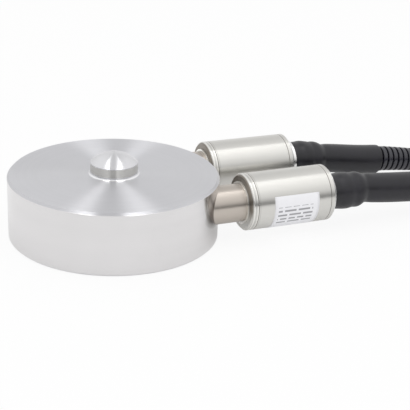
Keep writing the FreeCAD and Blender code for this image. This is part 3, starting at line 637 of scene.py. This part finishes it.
def coil_points(channel, cable):
    """Turns of a coil: inwards on its lower layer, one turn up, then outwards on its upper layer."""
    low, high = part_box(f"cable_coil_{channel}")
    centre = Vector(((low[0] + high[0]) / 2, (low[1] + high[1]) / 2, low[2] + cable.diameter / 2))
    outer = (high[0] - low[0] - cable.diameter) / 2
    inner = outer - cable.diameter * cable.turns
    side = CHANNELS[channel]
    narrowing = (3 + math.cos(math.tau / cable.per_turn)) / 4
    points = []
    for step in range(1, int((cable.turns * 2 + 1) * cable.per_turn)):
        turn = step / cable.per_turn
        climb = min(max(turn - cable.turns, 0.0), 1.0)
        if climb < 1.0:
            radius = outer - cable.diameter * min(turn, cable.turns) - cable.dip * math.sin(math.pi * climb)
        else:
            radius = inner + cable.diameter * (turn - cable.turns - 1)
        heading = side * (math.pi / 2 - math.tau * turn)
        across, along = math.cos(heading) * radius / narrowing, math.sin(heading) * radius / narrowing
        points.append(centre + Vector((across, along, cable.diameter * ease(climb))))
    return points


class LayCables(bpy.types.Operator):
    """Cables that leave the bend protectors, lie coiled behind the cans and end in their plugs"""
    bl_idname = "transducer.lay_cables"
    bl_label = "Lay Cables"

    def execute(self, context):
        cable = context.scene.transducer_cable
        rubber = context.scene.transducer_rubber
        jacket = moulded("cable_jacket", rubber.jacket_colour, 0.45, scale=2400.0, depth=0.00002, amount=0.35)
        for channel in CHANNELS:
            finish(jacket, f"inner_cable_{channel}")
            route = [*LEADS[channel], *coil_points(channel, cable), *TAILS[channel]]
            curve = bpy.data.curves.new(f"cable_{channel}", "CURVE")
            curve.dimensions = "3D"
            curve.bevel_depth = cable.diameter / 2
            curve.bevel_resolution = 5
            curve.use_fill_caps = True
            curve.resolution_u = 4
            spline = curve.splines.new("NURBS")
            spline.points.add(len(route) - 1)
            for point, place in zip(spline.points, route):
                point.co = (*place, 1.0)
            spline.order_u = 3
            spline.use_endpoint_u = True
            curve.materials.append(jacket)
            piece = bpy.data.objects.new(f"cable_{channel}", curve)
            context.scene.collection.objects.link(piece)
            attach(piece, BODY)
            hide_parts(f"cable_lead_{channel}", f"cable_coil_{channel}", f"cable_tail_{channel}")
            on_it = [bpy.data.objects[f"strap_{channel}"], bpy.data.objects[f"nut_{channel}_knurled"]]
            on_it += [NODES[f"plug_{kind}_{channel}"] for kind in ("grip", "carrier", "pins", "seal")]
        return {"FINISHED"}


STRAP_CORNER, STRAP_WALL = 0.0024, 0.001


class AddStraps(bpy.types.Operator):
    """Straps that hold the two coils together"""
    bl_idname = "transducer.add_straps"
    bl_label = "Add Straps"

    def execute(self, context):
        rubber = context.scene.transducer_rubber
        material = moulded("strap_weave", rubber.strap_colour, 0.7, scale=1600.0, depth=0.00012, amount=0.5)
        for channel in CHANNELS:
            low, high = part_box(f"coil_tie_{channel}")
            mesh = bmesh.new()
            bmesh.ops.create_cube(mesh, size=1.0)
            spans = [high[axis] - low[axis] for axis in range(3)]
            middle = [(low[axis] + high[axis]) / 2 for axis in range(3)]
            bmesh.ops.scale(mesh, vec=spans, verts=mesh.verts)
            bmesh.ops.translate(mesh, vec=middle, verts=mesh.verts)
            ends = [face for face in mesh.faces if abs(face.normal.y) > 0.9]
            bmesh.ops.delete(mesh, geom=ends, context="FACES_ONLY")
            corners = [edge for edge in mesh.edges if not edge.is_boundary]
            bmesh.ops.bevel(mesh, geom=corners, offset=STRAP_CORNER, offset_type="OFFSET", segments=5,
                            profile=0.5, affect="EDGES", material=-1)
            strap = new_piece(f"strap_{channel}", mesh, material)
            wall = strap.modifiers.new("wall", "SOLIDIFY")
            wall.thickness = STRAP_WALL
            wall.offset = -1.0
            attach(strap, BODY)
            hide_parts(f"coil_tie_{channel}")
        return {"FINISHED"}


# Coupling nut: knurl, radii, and distances from its back face
KNURLS, STEPS_PER_KNURL, KNURL_DEPTH, KNURL_ABOVE = 40, 3, 0.00032, 0.0071
NUT_HEAD, NUT_EDGE, NUT_LIP, NUT_SOCKET = 0.0072, 0.0006, 0.00428, 0.00495
SHOULDER, NUT_LENGTH, LIP_LENGTH = 0.0097, 0.0167, 0.0044
THREAD_CORE, THREAD_CREST, THREAD_TURNS, THREAD_RELIEF, THREAD_ENDS = 0.0055, 0.0060, 6, 0.0004, 0.0010


def nut_outline(start):
    """Knurled head, thread and socket of the coupling nut, from its back face."""
    head, edge, core = NUT_HEAD, NUT_EDGE, THREAD_CORE
    shoulder, front, lip_end = start + SHOULDER, start + NUT_LENGTH, start + LIP_LENGTH
    points = [(start, NUT_LIP), (start, head - edge), (start + edge, head), (shoulder - edge, head),
              (shoulder, head - edge), (shoulder, core), (shoulder + THREAD_RELIEF, core)]
    pitch = (front - shoulder - THREAD_ENDS) / THREAD_TURNS
    for turn in range(THREAD_TURNS):
        root = shoulder + THREAD_RELIEF + pitch * turn
        points += [(root + pitch * 0.42, THREAD_CREST), (root + pitch * 0.58, THREAD_CREST), (root + pitch, core)]
    return [*points, (front, core - 0.0002), (front, NUT_SOCKET), (lip_end, NUT_SOCKET), (lip_end, NUT_LIP)]


class AddNuts(bpy.types.Operator):
    """Knurled coupling nuts that turn on the plugs"""
    bl_idname = "transducer.add_nuts"
    bl_label = "Add Coupling Nuts"

    def execute(self, context):
        for channel in CHANNELS:
            axis = middle_line(f"plug_grip_{channel}")
            back_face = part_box(f"coupling_nut_{channel}")[0][0]
            steps = KNURLS * STEPS_PER_KNURL
            mesh = spun(nut_outline(back_face), steps)
            for vert in mesh.verts:
                radius = math.hypot(vert.co.y, vert.co.z)
                step = round(math.atan2(vert.co.y, vert.co.z) / math.tau * steps)
                if radius > KNURL_ABOVE and step % STEPS_PER_KNURL == 0:
                    vert.co.y *= 1 - KNURL_DEPTH / radius
                    vert.co.z *= 1 - KNURL_DEPTH / radius
            bmesh.ops.translate(mesh, vec=(0, *axis), verts=mesh.verts)
            nickel = turned_metal(f"nut_nickel_{channel}", (0.62, 0.60, 0.55), 0.22, axis, contrast=0.1,
                                  grain=0.2)
            nut = new_piece(f"nut_{channel}_knurled", mesh, nickel, 25.0)
            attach(nut, f"nut_{channel}")
            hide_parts(f"coupling_nut_{channel}")
        return {"FINISHED"}


class FinishPlugs(bpy.types.Operator):
    """Plastic grips, contact carriers and gold pins of the plugs"""
    bl_idname = "transducer.finish_plugs"
    bl_label = "Finish Plugs"

    def execute(self, context):
        grip = moulded("plug_plastic", (0.022, 0.022, 0.023), 0.42, 2800.0)
        carrier = moulded("contact_carrier", (0.03, 0.03, 0.032), 0.35, 3200.0)
        gold = moulded("contact_gold", (0.85, 0.60, 0.25), 0.2, 5000.0, depth=0.00001, amount=0.1, metallic=1.0)
        for channel in CHANNELS:
            finish(grip, f"plug_grip_{channel}")
            finish(carrier, f"plug_carrier_{channel}")
            finish(gold, f"plug_pins_{channel}")
        return {"FINISHED"}


# Rows of bars on the label, the part of it that they fill, and its height above the can
BAR_ROWS = {"Scale": 1.0, "Mortar Size": 0.026, "Brick Width": 0.31, "Row Height": 0.085}
BAR_SHIFTS = {"offset": 0.37, "offset_frequency": 2, "squash": 0.62, "squash_frequency": 3}
BAR_AREA = (("X", 0.08, 0.86), ("Y", 0.42, 0.80))
LABEL_LIFT = 0.00002


def label_film(label):
    """Bare film with rows of plain bars, laid out on the label's own UV map."""
    material, nodes, shader, coords = new_material("label_film")
    bar, paper = (*label.bar_colour, 1), (*label.paper_colour, 1)
    place = nodes.add("UVMap", uv_map="label").outputs[0]
    rows = nodes.add("TexBrick", {"Vector": place, "Color1": bar, "Color2": bar, "Mortar": paper, **BAR_ROWS},
                     **BAR_SHIFTS).outputs["Color"]
    parts = nodes.add("SeparateXYZ", {0: place}).outputs
    inside = 1.0
    for axis, low, high in BAR_AREA:
        within = nodes.math("MULTIPLY", nodes.math("GREATER_THAN", parts[axis], low),
                            nodes.math("LESS_THAN", parts[axis], high))
        inside = nodes.math("MULTIPLY", inside, within)
    barred = nodes.add("MixRGB", {"Fac": inside, "Color1": paper, "Color2": rows}).outputs[0]
    fibre = nodes.group(handling_marks, {"Vector": coords, "Colour": barred, "Roughness": 0.45, "Scale": 420.0,
                                         "Amount": 0.05})
    nodes.fill(shader, {"Base Color": fibre["Colour"], "Roughness": fibre["Roughness"]})
    return material


class AddLabel(bpy.types.Operator):
    """Bare label film wrapped round the front can"""
    bl_idname = "transducer.add_label"
    bl_label = "Add Label"

    def execute(self, context):
        label = context.scene.transducer_label
        side, height = channel_axis(1)
        low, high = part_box("amplifier_tube_1")
        radius = (high[2] - low[2]) / 2 + LABEL_LIFT
        mesh = bmesh.new()
        bmesh.ops.create_grid(mesh, x_segments=12, y_segments=48, size=0.5, calc_uvs=True)
        layer = mesh.loops.layers.uv.verify()
        for face in mesh.faces:
            for loop in face.loops:
                loop[layer].uv = (loop.vert.co.x + 0.5, loop.vert.co.y + 0.5)
        for vert in mesh.verts:
            turn = label.top - label.wrap * (0.5 - vert.co.y)
            vert.co = (label.start + label.width * (vert.co.x + 0.5), side - math.cos(turn) * radius,
                       height + math.sin(turn) * radius)
        piece = new_piece("label", mesh, label_film(label))
        piece.data.uv_layers[0].name = "label"
        film = piece.modifiers.new("film", "SOLIDIFY")
        film.thickness = label.thickness
        film.offset = 1.0
        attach(piece, BODY)
        return {"FINISHED"}


# Studio


def ray_kinds(nodes):
    """Whether a ray comes from the camera, and whether it comes by way of a reflection or through glass."""
    path = nodes.add("LightPath").outputs
    return path["Is Camera Ray"], nodes.math("MAXIMUM", path["Is Glossy Ray"], path["Is Transmission Ray"])


def set_world(stage):
    """Room that lights the object softly and shows as a white ground."""
    world = bpy.data.worlds.new("room")
    bpy.context.scene.world = world
    world.use_nodes = True
    nodes = Nodes(world.node_tree)
    seen = nodes.math("MAXIMUM", *ray_kinds(nodes))
    nodes.fill(world.node_tree.nodes["Background"],
               {"Color": (1, 1, 1, 1), "Strength": nodes.between(seen, stage.room_strength, 1.0)})


# Floor: its own white, as the camera sees it and as reflections do, its half width and its drop below the part
FLOOR_SEEN, FLOOR_MIRRORED = 0.9, 0.34
FLOOR_REACH, FLOOR_DROP = 4.0, 0.0003


def floor_material(stage):
    """Pale floor that shows white and keeps the object's shadow."""
    material, nodes, shader, _ = new_material("floor")
    material.node_tree.nodes.remove(shader)
    seen, mirrored = ray_kinds(nodes)
    matt = nodes.add("BsdfDiffuse", {"Color": (*stage.floor_colour, 1)})
    glow = nodes.add("Emission", {"Color": (1, 1, 1, 1), "Strength": 1.0})
    share_white = nodes.math("MAXIMUM", nodes.math("MULTIPLY", seen, FLOOR_SEEN),
                             nodes.math("MULTIPLY", mirrored, FLOOR_MIRRORED))
    mixed = nodes.add("MixShader", {0: share_white, 1: matt.outputs[0], 2: glow.outputs[0]})
    nodes.fill(material.node_tree.nodes["Material Output"], {"Surface": mixed.outputs[0]})
    return material


def stage_mesh(name, mesh, material):
    piece = new_piece(name, mesh, material)
    return piece


def add_floor(stage):
    mesh = bmesh.new()
    bmesh.ops.create_grid(mesh, x_segments=1, y_segments=1, size=FLOOR_REACH)
    bmesh.ops.translate(mesh, vec=(0, 0, -FLOOR_DROP), verts=mesh.verts)
    stage_mesh("floor", mesh, floor_material(stage))


# Directions over the floor as the camera sees them
RIGHT = Vector((0.917, -0.398, 0))
FRONT = Vector((-0.398, -0.917, 0))
# Curtain: its size, where its back passes into its front, and the middle of each into its sides
CURTAIN_RADIUS, CURTAIN_HEIGHT = 1.3, 1.26
FRONT_EDGES = (-0.3, 0.6)
SIDE_EDGES = (0.22, 0.6)
# Greys of the curtain: share of its height and shade
BACK_SHADES = [(0.0, 0.93), (0.13, 0.92), (0.42, 0.82), (0.8, 0.76), (1.0, 0.74)]
FRONT_SHADES = [(0.0, 0.03), (0.13, 0.24), (0.34, 0.58), (0.6, 0.90), (1.0, 0.80)]
FRONT_SIDE_SHADES = [(0.0, 0.03), (0.13, 0.22), (0.34, 0.74), (0.6, 0.98), (1.0, 1.0)]
BACK_SIDE_SHADES = [(0.0, 0.72), (0.2, 0.80), (0.42, 0.92), (1.0, 1.0)]
# Lamps: name, place to the right and towards the camera, width and length, share of the strips' strength
LAMP_HEIGHT = 1.0
LAMPS = [
    ("strip_left", -0.33, 0.32, (0.15, 1.2), 0.75),
    ("strip_right", 0.30, 0.32, (0.13, 1.2), 1.15),
]


def shade_ramp(nodes, value, shades):
    """Colour ramp of greys over a value of 0 to 1."""
    ramp = nodes.add("ValToRGB", {"Fac": value})
    marks = ramp.color_ramp.elements
    for place, _ in shades[1:-1]:
        marks.new(place)
    for mark, (place, shade) in zip(marks, shades):
        mark.position = place
        mark.color = (shade, shade, shade, 1)
    return ramp.outputs["Color"]


def add_curtain():
    """Curtain and ceiling that only reflections show: pale behind the part and dark low down in front of it."""
    mesh = bmesh.new()
    bmesh.ops.create_cone(mesh, cap_ends=True, segments=96, radius1=CURTAIN_RADIUS, radius2=CURTAIN_RADIUS,
                          depth=CURTAIN_HEIGHT)
    bmesh.ops.delete(mesh, geom=[face for face in mesh.faces if face.normal.z < -0.9], context="FACES_ONLY")
    bmesh.ops.translate(mesh, vec=(0, 0, CURTAIN_HEIGHT / 2), verts=mesh.verts)
    material, nodes, shader, coords = new_material("curtain")
    material.node_tree.nodes.remove(shader)
    height = nodes.math("DIVIDE", nodes.add("SeparateXYZ", {0: coords}).outputs["Z"], CURTAIN_HEIGHT)
    facing = nodes.step(nodes.along(coords, FRONT), *FRONT_EDGES)
    aside = nodes.step(nodes.math("ABSOLUTE", nodes.along(coords, RIGHT)), *SIDE_EDGES)
    halves = [nodes.add("MixRGB", {"Fac": aside, "Color1": shade_ramp(nodes, height, middle),
                                   "Color2": shade_ramp(nodes, height, side)}).outputs[0]
              for middle, side in ((BACK_SHADES, BACK_SIDE_SHADES), (FRONT_SHADES, FRONT_SIDE_SHADES))]
    shade = nodes.add("MixRGB", {"Fac": facing, "Color1": halves[0], "Color2": halves[1]}).outputs[0]
    glow = nodes.add("Emission", {"Color": shade, "Strength": 1.0})
    nodes.fill(material.node_tree.nodes["Material Output"], {"Surface": glow.outputs[0]})
    curtain = stage_mesh("curtain", mesh, material)
    curtain.visible_camera = curtain.visible_diffuse = False
    curtain.visible_shadow = curtain.visible_transmission = False


def add_lamp(name, place, sides, size, strength):
    """Rectangular lamp of a given radiance, spread along two directions, that only lights and reflects."""
    data = bpy.data.lights.new(name, "AREA")
    data.shape = "RECTANGLE"
    data.size, data.size_y = size
    data.energy = strength * math.pi * size[0] * size[1]
    lamp = bpy.data.objects.new(name, data)
    bpy.context.scene.collection.objects.link(lamp)
    lamp.location = place
    lamp.rotation_euler = Matrix((*sides, sides[0].cross(sides[1]))).transposed().to_euler()
    lamp.visible_camera = False


CAMERA_FORWARD = Vector((0.36804, 0.84799, -0.38139))
CAMERA_LEVEL = Vector((0.91733, -0.39813, 0.0))


def add_camera(stage):
    rise = CAMERA_LEVEL.cross(CAMERA_FORWARD)
    roll = stage.camera_roll
    right = CAMERA_LEVEL * math.cos(roll) + rise * math.sin(roll)
    up = rise * math.cos(roll) - CAMERA_LEVEL * math.sin(roll)
    data = bpy.data.cameras.new("camera")
    data.lens = stage.lens
    data.sensor_width = 36.0
    data.clip_start = 0.01
    camera = bpy.data.objects.new("camera", data)
    bpy.context.scene.collection.objects.link(camera)
    turn = Matrix((right, up, -CAMERA_FORWARD)).transposed().to_4x4()
    camera.matrix_world = Matrix.Translation(stage.camera_place) @ turn
    bpy.context.scene.camera = camera


class SetStage(bpy.types.Operator):
    """Pale floor, soft overhead strips, room light and the camera"""
    bl_idname = "transducer.set_stage"
    bl_label = "Set Stage"

    def execute(self, context):
        stage = context.scene.transducer_stage
        context.scene.view_settings.view_transform = "Standard"
        set_world(stage)
        add_floor(stage)
        add_curtain()
        for name, across, ahead, size, share_lit in LAMPS:
            place = RIGHT * across + FRONT * ahead + Vector((0, 0, LAMP_HEIGHT))
            add_lamp(name, place, (RIGHT, -FRONT), size, stage.strip_strength * share_lit)
        add_camera(stage)
        return {"FINISHED"}


class DressingPanel(bpy.types.Panel):
    """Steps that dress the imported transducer"""
    bl_idname = "VIEW3D_PT_transducer"
    bl_label = "Force Transducer"
    bl_space_type = "VIEW_3D"
    bl_region_type = "UI"
    bl_category = "Transducer"

    def draw(self, context):
        for operator in OPERATORS:
            self.layout.operator(operator.bl_idname)
        for name in SETTINGS:
            group = getattr(context.scene, name)
            box = self.layout.box()
            for field in group.__annotations__:
                box.prop(group, field)


OPERATORS = (FinishSteel, FinishElectronics, AddSleeves, AddBendProtectors, AddLabel, FinishPlugs, AddNuts,
             AddStraps, LayCables, SetStage)
SETTINGS = {
    "transducer_steel": SteelSettings,
    "transducer_rubber": RubberSettings,
    "transducer_label": LabelSettings,
    "transducer_cable": CableSettings,
    "transducer_stage": StageSettings,
}


def register():
    for cls in (*SETTINGS.values(), *OPERATORS, DressingPanel):
        bpy.utils.register_class(cls)
    for name, cls in SETTINGS.items():
        setattr(bpy.types.Scene, name, PointerProperty(type=cls))


def unregister():
    for name in SETTINGS:
        delattr(bpy.types.Scene, name)
    for cls in reversed((*SETTINGS.values(), *OPERATORS, DressingPanel)):
        bpy.utils.unregister_class(cls)


def main():
    register()
    for operator in OPERATORS:
        family, name = operator.bl_idname.split(".")
        getattr(getattr(bpy.ops, family), name)()


if __name__ == "__main__":
    main()
